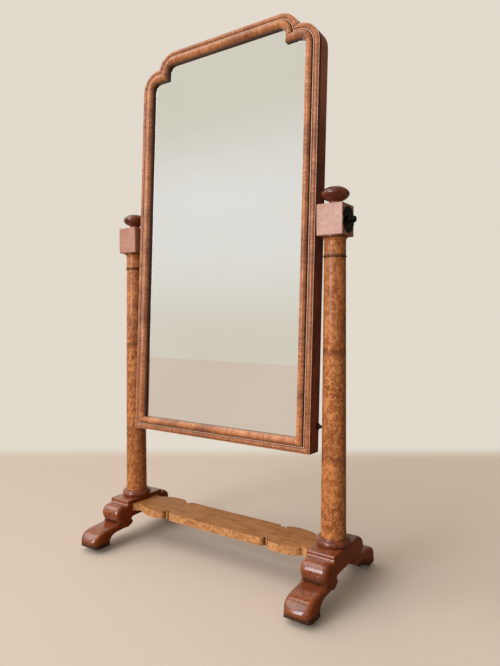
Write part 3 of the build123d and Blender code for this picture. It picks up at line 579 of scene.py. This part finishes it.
@dataclass
class MouldingSection:
    """Two beads parted by a quirk and a fillet, as measures in metres from the sight edge.

    The bead runs through three points, told as shares of its width and height.
    """

    width: float = 0.044
    bead_width: float = 0.024
    bead_height: float = 0.011
    bead_points: tuple = ((0.3, 0.86), (0.58, 1.0), (0.9, 0.5))
    bead_steps: int = 12
    outer_steps: int = 10
    quirk_depth: float = 0.003
    quirk_width: float = 0.0007
    fillet_width: float = 0.0026
    fillet_height: float = 0.0015
    outer_bead: float = 0.004
    arris: float = 0.0016
    setback: float = 0.008
    glass: float = 0.005
    rebate: float = 0.008
    eased: float = 0.0004
    # How far the painted shade reaches on the sight lip, and beside the quirk.
    lip_dark: float = 0.0012
    lip_brown: float = 0.0050
    quirk_shade: float = 0.0022

    def outline(self) -> np.ndarray:
        """The closed section: across from the sight edge, and forwards from the arris.

        Returns:
            The points in order, the last one joining the first.
        """
        fillet_start = self.bead_width + self.quirk_width
        fillet_end = fillet_start + self.fillet_width
        outer_start = fillet_end + self.quirk_width
        outer_end = self.width - self.arris
        sight = (0.0, -self.quirk_depth)
        before, crest, after = np.array(self.bead_points) * (self.bead_width, self.bead_height)
        quirk = (self.bead_width, -self.quirk_depth)
        outer = [(outer_start, 0), ((outer_start + outer_end) / 2, self.outer_bead), (outer_end, 0)]
        back = -self.setback - self.glass
        parts = [
            [(0.0, -self.setback)],
            three_point_arc(sight, before, crest, self.bead_steps),
            three_point_arc(crest, after, quirk, self.bead_steps)[1:],
            [(fillet_start, -self.quirk_depth)],
            [(fillet_start, self.fillet_height - self.eased)],
            [(fillet_start + self.eased, self.fillet_height)],
            [(fillet_end - self.eased, self.fillet_height)],
            [(fillet_end, self.fillet_height - self.eased), (fillet_end, 0.0)],
            three_point_arc(*outer, self.outer_steps),
            [(self.width - self.eased, 0.0), (self.width, -self.eased)],
            [(self.width, back), (self.rebate, back), (self.rebate, -self.setback)],
        ]
        return np.concatenate([np.array(part, float) for part in parts])

    def girth(self) -> np.ndarray:
        """The length round the section up to each of its points."""
        steps = np.linalg.norm(np.diff(self.outline(), axis=0), axis=1)
        return np.concatenate([[0.0], steps.cumsum()])

    def bands(self) -> tuple:
        """Painted shade on the sight lip and quirks, painted highlights on fillet and arris, as
        places round the section.

        A place across the front is read off as a length round the section by interpolation.

        Returns:
            Each band's start, end, colour and share.
        """
        outline = self.outline()
        front = slice(1, int(np.argmax(outline[:, 0])) + 1)
        fillet_start = self.bead_width + self.quirk_width
        fillet_end = fillet_start + self.fillet_width
        edges = (
            self.bead_width - self.quirk_shade,
            fillet_start + self.eased / 4,
            fillet_end - self.eased / 4,
            fillet_end + self.quirk_width * 1.4,
            self.width - self.arris,
            self.width,
        )
        places = np.interp(edges, outline[front, 0], self.girth()[front])
        quirk, fillet, step, outer, arris, side = (float(place) for place in places)
        lip = self.setback - self.quirk_depth
        # dark and the lip's brown are painted shade, bright is a painted highlight; the outer bead
        # is a little darker, and the side and back darker still.
        dark, brown, bright = srgb(44, 22, 16), srgb(104, 54, 36), srgb(236, 196, 168)
        before, beyond, past_side = -0.001, 1.0, side + 0.001
        return (
            (before, lip + self.lip_dark, dark, 0.9),
            (lip + self.lip_dark, lip + self.lip_brown, brown, 0.45),
            (quirk, fillet, dark, 0.9),
            (fillet, step, bright, 0.75),
            (step, outer, dark, 0.85),
            (outer, arris, brown, 0.22),
            (arris, side, bright, 0.5),
            (past_side, beyond, srgb(84, 44, 30), 0.9),
        )


@dataclass
class TiltingFrame:
    """The eared frame round the plate, drawn upright about the pivot and then leaned back."""

    half_width: float = 0.3445
    top: float = 0.631
    foot: float = 0.665
    ear: float = 0.068
    ear_drop: float = 0.048
    arris_front: float = 0.025
    pivot_height: float = 1.063
    lean: float = math.radians(2.6)
    straight_steps: int = 26
    arc_steps: int = 30
    level_steps: int = 14
    rise_steps: int = 12
    past_corner: float = 0.02
    past_cusp: float = 0.03
    below_cusp: float = 0.05
    left_shift: tuple = (3.7, 0.0)
    head_shift: tuple = (7.1, 0.0)
    foot_shift: tuple = (11.3, 0.0)
    section: MouldingSection = field(default_factory=MouldingSection)
    way: float = -1.0

    @property
    def ear_centre(self) -> np.ndarray:
        """Centre of the right ear's rounding."""
        return np.array([self.half_width - self.ear, self.top - self.ear_drop - self.ear])

    @property
    def shoulder_centre(self) -> np.ndarray:
        """Centre of the right shoulder's rounding."""
        return np.array([self.ear_centre[0] - self.ear, self.top - self.ear])

    def cusp(self) -> tuple[np.ndarray, np.ndarray]:
        """The mitre at the re-entrant corner, from its sight corner to its outer corner."""
        rise = self.ear_centre[1] + self.ear
        reach = math.sqrt(self.ear**2 - (rise - self.shoulder_centre[1]) ** 2)
        inner = np.array([self.ear_centre[0] - self.section.width, rise - self.section.width])
        return inner, np.array([self.shoulder_centre[0] + reach, rise])

    def arc(self, centre: np.ndarray, first: float, last: float) -> np.ndarray:
        """A sight-edge rounding about a centre, between two angles in degrees."""
        turn = np.radians(np.linspace(first, last, self.arc_steps))
        radius = self.ear - self.section.width
        return centre + radius * np.stack([np.cos(turn), np.sin(turn)], axis=1)

    def run(self, line: np.ndarray, mitres: list) -> tuple[np.ndarray, np.ndarray]:
        """Carry the section along a sight line and trim each fibre at the two mitres.

        A fibre is the sight line moved outwards by one section point's width. Its crossing
        with a mitre is found by interpolating its signed distance to that mitre, and the
        fibre is then resampled evenly between its two crossings.

        Args:
            line: the points of the sight line, running on past both mitres.
            mitres: the first and last mitre, each as a point and a direction along it.

        Returns:
            The points as stations by section points, and their pattern places.
        """
        outline = self.section.outline()
        along = np.gradient(line, axis=0)
        along /= np.linalg.norm(along, axis=1, keepdims=True)
        outward = np.stack([-along[:, 1], along[:, 0]], axis=1) * self.way
        fibres = line[:, None, :] + outward[:, None, :] * outline[None, :, 0, None]
        step = np.arange(len(line), dtype=float)
        ends = []
        for (point, direction), rising in zip(mitres, (True, False)):
            side = np.array([direction[1], -direction[0]])
            distance = (fibres - point) @ side
            distance *= 1.0 if (distance[-1, 0] > distance[0, 0]) == rising else -1.0
            crossing = [self.first_crossing(distance[:, k], rising) for k in range(len(outline))]
            ends.append(np.array(crossing))
        share = np.linspace(0, 1, len(line))[:, None]
        places = ends[0] + (ends[1] - ends[0]) * share
        flat = np.empty((len(line), len(outline), 2))
        for k in range(len(outline)):
            for axis in (0, 1):
                flat[:, k, axis] = np.interp(places[:, k], step, fibres[:, k, axis])
        length = np.concatenate([[0], np.cumsum(np.linalg.norm(np.diff(line, axis=0), axis=1))])
        run_uv = np.interp(places, step, length)
        uvs = np.stack([run_uv, np.broadcast_to(self.section.girth(), run_uv.shape)], axis=-1)
        depth = np.broadcast_to(-self.arris_front - outline[:, 1], flat.shape[:2])
        points = np.stack([flat[..., 0], depth, flat[..., 1]], axis=-1)
        return points, uvs

    @staticmethod
    def first_crossing(distance: np.ndarray, rising: bool) -> float:
        """Where a fibre's distance to a mitre changes sign, as a fractional station."""
        values = distance if rising else distance[::-1]
        inside = np.nonzero(values > 0)[0]
        at = max(int(inside[0]), 1) if len(inside) else 1
        before, after = values[at - 1], values[at]
        place = at - 1 + float(-before / (after - before)) if after != before else float(at)
        return place if rising else len(distance) - 1 - place

    def lean_back(self, points: np.ndarray) -> np.ndarray:
        """Turn upright points about the pivot line and lift them to it."""
        x, y, z = points[:, 0], points[:, 1], points[:, 2]
        cos, sin = math.cos(self.lean), math.sin(self.lean)
        return np.stack([x, y * cos + z * sin, z * cos - y * sin + self.pivot_height], axis=1)

    def stile_line(self) -> np.ndarray:
        """Up the right stile's sight edge, round the ear and on past the cusp."""
        x = self.half_width - self.section.width
        rise = self.ear_centre[1] + self.ear - self.section.width
        start = (x, -self.foot - self.past_corner)
        up = np.linspace(start, (x, self.ear_centre[1]), self.straight_steps)
        end = (self.cusp()[0][0] - self.past_cusp, rise)
        level = np.linspace((self.ear_centre[0], rise), end, self.level_steps)
        return np.concatenate([up[:-1], self.arc(self.ear_centre, 0, 90), level[1:]])

    def head_line(self) -> np.ndarray:
        """From below the right cusp round the shoulder and across to the left cusp."""
        shoulder = self.arc(self.shoulder_centre, 0, 90)
        low = (shoulder[0, 0], self.cusp()[0][1] - self.below_cusp)
        start = np.linspace(low, shoulder[0], self.rise_steps)
        middle = np.linspace(shoulder[-1], shoulder[-1] * [-1, 1], self.straight_steps)
        half = np.concatenate([start[:-1], shoulder[:-1]])
        return np.concatenate([half, middle, half[::-1] * [-1, 1]])

    def foot_line(self) -> np.ndarray:
        """Across the bottom sight edge, from right to left."""
        reach = self.half_width + self.past_corner
        x = np.linspace(reach, -reach, self.straight_steps * 2)
        return np.stack([x, np.full(len(x), -self.foot + self.section.width)], axis=1)

    def place(
        self, name: str, points: np.ndarray, uvs: np.ndarray, material: bpy.types.Material
    ) -> None:
        """Close a run with its end faces and put it in the node's place."""
        rows, columns = points.shape[:2]
        number = np.arange(rows * columns).reshape(rows, columns)
        after = np.roll(number, -1, axis=1)
        quads = np.stack([number[:-1], number[1:], after[1:], after[:-1]], axis=-1).reshape(-1, 4)
        faces = quads.tolist() + [number[0].tolist(), number[-1][::-1].tolist()]
        leaning = self.lean_back(points.reshape(-1, 3))
        piece = new_piece(f"{name}_run", leaning, faces, uvs.reshape(-1, 2), "mirror")
        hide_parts(name)
        dress(piece, material)

    def build(self, moulding: bpy.types.Material) -> None:
        """Make the four moulding runs."""
        inner, outer = self.cusp()
        corner = np.array([self.half_width, -self.foot])
        foot_mitre = (corner, np.array([-1.0, 1.0]))
        cusp_mitre = (inner, outer - inner)
        left_cusp = (inner * [-1, 1], (outer - inner) * [-1, 1])
        left_foot = (corner * [-1, 1], np.array([1.0, 1.0]))
        points, uvs = self.run(self.stile_line(), [foot_mitre, cusp_mitre])
        self.place("right_stile_moulding", points, uvs, moulding)
        self.place("left_stile_moulding", points * [-1, 1, 1], uvs + self.left_shift, moulding)
        points, uvs = self.run(self.head_line(), [cusp_mitre, left_cusp])
        self.place("head_moulding", points, uvs + self.head_shift, moulding)
        self.way = 1.0
        points, uvs = self.run(self.foot_line(), [foot_mitre, left_foot])
        self.place("foot_moulding", points, uvs + self.foot_shift, moulding)


@dataclass
class ScrollLegs:
    """The four scrolled legs, worked over from their solids until bulb and toe are well rounded."""

    half_spacing: float = 0.395
    half_width: float = 0.043
    bulb_start: float = 0.086
    bulb_blend: float = 0.01
    toe_start: float = 0.126
    toe_blend: float = 0.034
    arch_start: float = 0.088
    arch_top: tuple = (0.05, 0.066)
    sole_blend: tuple = (0.0165, 0.026)
    castor_reach: float = 0.196
    pocket_reach: float = 0.0285
    pocket_margin: float = 0.002
    edge_reach: float = 0.02
    edge_margin: float = 0.002
    toe_reach: float = 0.235
    tip_round: float = 0.03
    voxel: float = 0.0018
    passes: int = 72

    @staticmethod
    def ramp(
        value: np.ndarray, low: np.ndarray | float, high: np.ndarray | float
    ) -> np.ndarray:
        """Nought below low, one above high and a smooth step between."""
        share = np.clip((value - low) / (high - low), 0.0, 1.0)
        return share * share * (3.0 - 2.0 * share)

    def freedom(self, points: np.ndarray, pocket_top: float) -> np.ndarray:
        """How freely each point may move.

        It is one on the toe, under the arch and near the bulb's side edges. It is nought at
        the column, on the sole and round the castor's pocket, with smooth steps between.

        Args:
            points: the points in metres.
            pocket_top: the height of the castor pocket's ceiling.

        Returns:
            A share from nought to one for each point.
        """
        reach = np.abs(points[:, 1])
        across = np.abs(np.abs(points[:, 0]) - self.half_spacing)
        edge = (self.half_width - self.edge_reach, self.half_width - self.edge_margin)
        bulb = self.ramp(reach, self.bulb_start, self.bulb_start + self.bulb_blend)
        bulb *= self.ramp(across, *edge)
        above_arch = self.ramp(points[:, 2], *self.arch_top)
        start = self.arch_start + (self.toe_start - self.arch_start) * above_arch
        toe = self.ramp(reach, start, start + self.toe_blend)
        off_sole = self.ramp(points[:, 2], *self.sole_blend)
        plan = np.hypot(reach - self.castor_reach, across)
        below = points[:, 2] < pocket_top + self.pocket_margin
        pocket = (plan < self.pocket_reach) & below
        return np.where(pocket, 0.0, np.maximum(bulb, toe) * off_sole)

    def round_tip(self, points: np.ndarray) -> np.ndarray:
        """Round the toe's two front corners in plan.

        What lies outside a quarter circle there is drawn in to it along the radius.
        """
        side = np.where(points[:, 0] < 0, -self.half_spacing, self.half_spacing)
        across, reach = points[:, 0] - side, np.abs(points[:, 1])
        wide, long = self.half_width - self.tip_round, self.toe_reach - self.tip_round
        beyond, ahead = np.abs(across) - wide, reach - long
        size = np.maximum(np.hypot(beyond, ahead), self.tip_round)
        corner = (beyond > 0) & (ahead > 0)
        share = np.where(corner, self.tip_round / size, 1.0)
        rounded = points.copy()
        rounded[:, 0] = side + np.where(corner, np.sign(across) * (wide + beyond * share), across)
        rounded[:, 1] = np.sign(points[:, 1]) * np.where(corner, long + ahead * share, reach)
        return rounded

    def soften(self, points: np.ndarray, edges: np.ndarray, free: np.ndarray) -> np.ndarray:
        """Round a dense mesh's edges by repeated averaging.

        Each pass moves every point towards the mean of its neighbours by its own share.
        """
        count = np.bincount(edges.ravel(), minlength=len(points))
        for _ in range(self.passes):
            moved = np.empty_like(points)
            for axis in range(3):
                column = points[:, axis]
                total = np.bincount(edges[:, 0], column[edges[:, 1]], len(points))
                total += np.bincount(edges[:, 1], column[edges[:, 0]], len(points))
                moved[:, axis] = column + free * (total / count - column)
            points = moved
        return points

    def dense_copy(self, node: str) -> bpy.types.Mesh:
        """An even, fine mesh of a node's solid, closed first, as voxels see it."""
        mesh = frame["nodes"][node].data.copy()
        shell = bmesh.new()
        shell.from_mesh(mesh)
        bmesh.ops.remove_doubles(shell, verts=shell.verts, dist=SOLID_WELD)
        shell.to_mesh(mesh)
        shell.free()
        blank = bpy.data.objects.new(f"{node}_blank", mesh)
        bpy.context.scene.collection.objects.link(blank)
        remesh = blank.modifiers.new("even", "REMESH")
        remesh.mode = "VOXEL"
        remesh.voxel_size = self.voxel
        graph = bpy.context.evaluated_depsgraph_get()
        dense = bpy.data.meshes.new_from_object(blank.evaluated_get(graph))
        bpy.data.objects.remove(blank)
        return dense

    def build(self, wood: bpy.types.Material) -> None:
        """Make the four rounded legs."""
        for corner in CORNERS:
            node = f"{corner}_leg"
            mesh = self.dense_copy(node)
            points = np.empty((len(mesh.vertices), 3))
            edges = np.empty((len(mesh.edges), 2), np.int32)
            mesh.vertices.foreach_get("co", points.ravel())
            mesh.edges.foreach_get("vertices", edges.ravel())
            pocket_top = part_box(f"{corner}_castor_plate")[1][2]
            points = self.round_tip(points)
            rounded = self.soften(points, edges, self.freedom(points, pocket_top))
            mesh.vertices.foreach_set("co", rounded.ravel())
            mesh.shade_smooth()
            piece = put_in(f"{node}_rounded", mesh, "stand")
            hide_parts(node)
            dress(piece, wood)


@dataclass
class Finishes:
    """Which finish each of the object's materials has."""

    honey: tuple = srgb(217, 143, 86)
    amber: tuple = srgb(160, 90, 48)
    umber: tuple = srgb(84, 40, 20)

    def table(self) -> dict:
        """Each material slot's finish, by the record's slot name."""
        return {
            "column_maple": BurrMaple("burr_column", self.honey, self.amber, self.umber),
            "block_maple": FiguredWood(
                "block_face", srgb(199, 151, 129), srgb(188, 138, 115), srgb(169, 115, 93),
                grain=(2.2, 9.0, 9.0), turn=(0, 28, 0), fleck_share=0.15, gloss=0.34),
            "turned_walnut": FiguredWood(
                "turned_bun", srgb(146, 75, 47), srgb(107, 53, 37), srgb(54, 25, 18),
                fleck_share=0.3, gloss=0.18, coat=0.8),
            "leg_walnut": FiguredWood(
                "sledge_leg", srgb(152, 80, 42), srgb(120, 58, 32), srgb(72, 32, 22),
                grain=(9.0, 1.6, 7.0), turn=(20, 0, 0), fleck_share=0.15, gloss=0.24,
                sheen=0.15, coat=0.8, coat_index=1.7,
                # Painted shade: a deeper tone on the sides, and the crease under the bulb darkened.
                shaded_side_colour=srgb(148, 66, 28), crease=(0.1195, 0.0715, 0.0075),
                # Painted shade: the legs darken below 31 mm, for the shadow under the toes.
                band_axis="Z", band_edge=0.0025, bands=((-1.0, 0.031, srgb(58, 40, 36), 0.85),)),
            "stretcher_maple": StretcherWood(),
            "moulding_maple": FiguredWood(
                "cross_banded_bead", srgb(214, 144, 96), srgb(172, 102, 62), srgb(98, 50, 30),
                grain=(26.0, 3.0, 1.0), fleck_scale=(330.0, 120.0, 1.0), fleck_share=0.85,
                wave=1.0, gloss=0.26, sheen=0.2, coat=0.3, pattern=Pattern.ALONG,
                # The moulding's bands: painted shade and highlights round its section.
                bands=MouldingSection().bands()),
            "case_walnut": FiguredWood(
                "dark_case", srgb(150, 88, 62), srgb(116, 64, 46), srgb(70, 36, 26),
                fleck_share=0.4, gloss=0.36, sheen=0.12, coat=0.03,
                # Painted sheen: the case is lighter above 1.35 m.
                band_axis="Z", band_edge=0.15, bands=((1.35, 3.0, srgb(214, 142, 112), 0.7),)),
            "silvered_glass": Silvering(),
            "back_pine": FiguredWood(
                "aged_pine", srgb(176, 140, 98), srgb(150, 114, 76), srgb(108, 76, 48),
                grain=(13.0, 13.0, 0.8), fleck_share=0.1, gloss=0.62, coat=0.0),
            "dowel_beech": FiguredWood(
                "beech_dowel", srgb(200, 168, 128), srgb(182, 146, 104), srgb(140, 104, 70),
                fleck_share=0.5, gloss=0.6, coat=0.0),
            "dark_bronze": Metal("dark_bronze", srgb(58, 58, 48), srgb(20, 23, 20), gloss=0.32),
            "pivot_brass": Metal("aged_brass", srgb(168, 130, 68), srgb(98, 70, 36), gloss=0.4),
            "stud_ebony": Metal(
                "ebonised_stud", srgb(46, 34, 28), srgb(24, 18, 16), metallic=0.0, gloss=0.28),
            "screw_steel": Metal("dull_steel", srgb(150, 146, 138), srgb(92, 86, 78), gloss=0.42),
            "castor_iron": Metal("blacked_iron", srgb(62, 58, 54), srgb(30, 28, 27), gloss=0.45),
            "castor_wheel_brass": Metal(
                "worn_castor_wheel", srgb(104, 82, 50), srgb(48, 38, 26), gloss=0.38),
        }

    def dress_nodes(self) -> dict:
        """Dress every node with the finish of its slot.

        Returns:
            The built materials by slot name.
        """
        built = {slot: finish.build() for slot, finish in self.table().items()}
        for part in frame["record"]["subparts"]:
            dress(frame["nodes"][part["node"]], built[part["material_slot"]])
        log.info("dressed %d nodes in %d finishes", len(frame["nodes"]), len(built))
        return built


@dataclass
class Studio:
    """Pale floor and wall, a room bright towards the window and dim away from it, and a camera."""

    camera_place: tuple = (1.0505, -1.4222, 0.7989)
    camera_yaw: float = 33.59
    camera_pitch: float = -1.97
    lens: float = 29.385
    sensor_width: float = 36.0
    floor_reach: float = 40.0
    away: tuple = (-0.553, 0.833, 0.0)
    fade: tuple = (1.2, 1.5)
    mirrored_fade: tuple = (0.1, -0.4)
    floor_colour: tuple = srgb(214, 199, 184)
    weave_colour: tuple = srgb(190, 170, 149)
    weave_share: float = 0.12
    bounce_colour: tuple = srgb(130, 110, 90)
    mirrored_colour: tuple = srgb(226, 212, 204)
    wall_colour: tuple = srgb(226, 218, 205)
    front_wall_colour: tuple = srgb(228, 225, 219)
    front_wall_fade: tuple = (0.1, 0.5)
    window_way: tuple = (-0.86, -0.5, 0.1)
    window_fade: tuple = (-0.5, 0.55)
    sky_colour: tuple = srgb(255, 245, 232)
    dim_side: float = 0.1
    sky_light: float = 1.22
    lamp_place: tuple = (-1.65, -6.9, 2.85)
    lamp_target: tuple = (0.0, 0.0, 0.6)
    lamp_size: tuple = (2.7, 4.5)
    lamp_power: float = 305.0
    lamp_colour: tuple = (0.86, 0.9, 1.0)
    sun_source: tuple = (-0.56, -0.32, 0.77)
    sun_strength: float = 0.74
    sun_spread: float = 44.0

    def floor(self) -> None:
        """A level floor that turns into the wall's plain colour behind the object.

        It is pale to the eye, and throws less light back up than that. The sharp plate sees
        an even pale floor in front of the object.
        """
        reach = self.floor_reach
        corners = [(-reach, -reach, 0), (reach, -reach, 0), (reach, reach, 0), (-reach, reach, 0)]
        mesh = bpy.data.meshes.new("floor")
        mesh.from_pydata(corners, [], [(0, 1, 2, 3)])
        ground = bpy.data.objects.new("floor", mesh)
        bpy.context.scene.collection.objects.link(ground)
        graph = Graph("studio_floor")
        weave = graph.noise(graph.stretch(), scale=220.0, detail=3.0)
        woven = graph.spread(weave, 0.3, 0.7, 0.0, self.weave_share)
        tone = graph.mix(woven, self.floor_colour, self.weave_colour)
        seen = graph.rays(SHARP_RAYS)
        tone = graph.mix(seen, self.bounce_colour, tone)
        dress(ground, graph.finish(Base_Color=tone, Roughness=0.9, Specular_IOR_Level=0.1))
        in_front = graph.spread(graph.split(graph.coords, "Y"), *self.mirrored_fade)
        mirrored = graph.times(graph.rays(("Singular",)), in_front)
        wall = graph.add("ShaderNodeEmission")
        plain = graph.mix(mirrored, self.wall_colour, self.mirrored_colour)
        graph.link(plain, wall.inputs["Color"])
        far = graph.spread(graph.along(graph.coords, self.away), *self.fade)
        share = graph.combine("MAXIMUM", graph.times(far, seen), mirrored)
        shader = graph.blend(share, graph.surface.outputs[0], wall.outputs[0])
        graph.link(shader, graph.output.inputs["Surface"])

    def sky(self) -> None:
        """Room light, bright towards the window and dim away from it.

        The camera, clear glass and the sharp plate see the plain walls, and gloss sees them
        dimmed on the dim side. The wall in front of the object has a colour of its own.
        """
        world = bpy.data.worlds.new("studio")
        bpy.context.scene.world = world
        world.use_nodes = True
        tree = Tree(world.node_tree)
        output = tree.add("ShaderNodeOutputWorld")
        direction = tree.add("ShaderNodeTexCoord").outputs["Generated"]
        bright_side = tree.along(direction, self.window_way)
        room = tree.spread(bright_side, *self.window_fade, self.dim_side, 1.0)
        forwards = tree.along(direction, FORWARDS)
        in_front = tree.spread(forwards, *self.front_wall_fade, easing="LINEAR")
        walls = tree.mix(in_front, self.wall_colour, self.front_wall_colour)
        daylight = tree.times(room, self.sky_light)
        shades = []
        for colour, strength in ((self.sky_colour, daylight), (walls, tree.rays(SHARP_RAYS, room))):
            shade = tree.add("ShaderNodeBackground")
            tree.feed(shade.inputs["Color"], colour)
            tree.feed(shade.inputs["Strength"], strength)
            shades.append(shade.outputs[0])
        tree.link(tree.blend(tree.rays(EYE_RAYS), *shades), output.inputs["Surface"])

    def hang(self, light: bpy.types.Light, source: tuple, place: tuple = ZERO) -> None:
        """Put a light into the scene, so that it shines from its source's direction."""
        stand = bpy.data.objects.new(light.name, light)
        stand.location = place
        stand.rotation_euler = Vector(source).to_track_quat("Z", "Y").to_euler()
        bpy.context.scene.collection.objects.link(stand)

    def window(self) -> None:
        """A soft rectangular lamp that looks at the object."""
        place, target = self.lamp_place, self.lamp_target
        light = bpy.data.lights.new("window", "AREA")
        light.shape = "RECTANGLE"
        light.size, light.size_y = self.lamp_size
        light.energy = self.lamp_power
        light.color = self.lamp_colour
        self.hang(light, Vector(place) - Vector(target), place)

    def daylight(self) -> None:
        """Even soft light from far off."""
        light = bpy.data.lights.new("daylight", "SUN")
        light.energy = self.sun_strength
        light.angle = math.radians(self.sun_spread)
        self.hang(light, self.sun_source)

    def camera(self) -> None:
        """The camera that matches the photograph."""
        lens = bpy.data.cameras.new("camera")
        lens.lens = self.lens
        lens.sensor_width = self.sensor_width
        eye = bpy.data.objects.new("camera", lens)
        eye.location = self.camera_place
        turn = (90.0 + self.camera_pitch, 0.0, self.camera_yaw)
        eye.rotation_euler = tuple(math.radians(angle) for angle in turn)
        bpy.context.scene.collection.objects.link(eye)
        bpy.context.scene.camera = eye

    def build(self) -> None:
        """Set the view, the floor, the light and the camera."""
        bpy.context.scene.view_settings.view_transform = "Standard"
        self.floor()
        self.sky()
        self.window()
        self.daylight()
        self.camera()


def main() -> None:
    """Dress the nodes, make the new pieces and set the studio."""
    built = Finishes().dress_nodes()
    TiltingFrame().build(built["moulding_maple"])
    ScrollLegs().build(built["leg_walnut"])
    Studio().build()


if __name__ == "__main__":
    logging.basicConfig(level=logging.INFO)
    main()
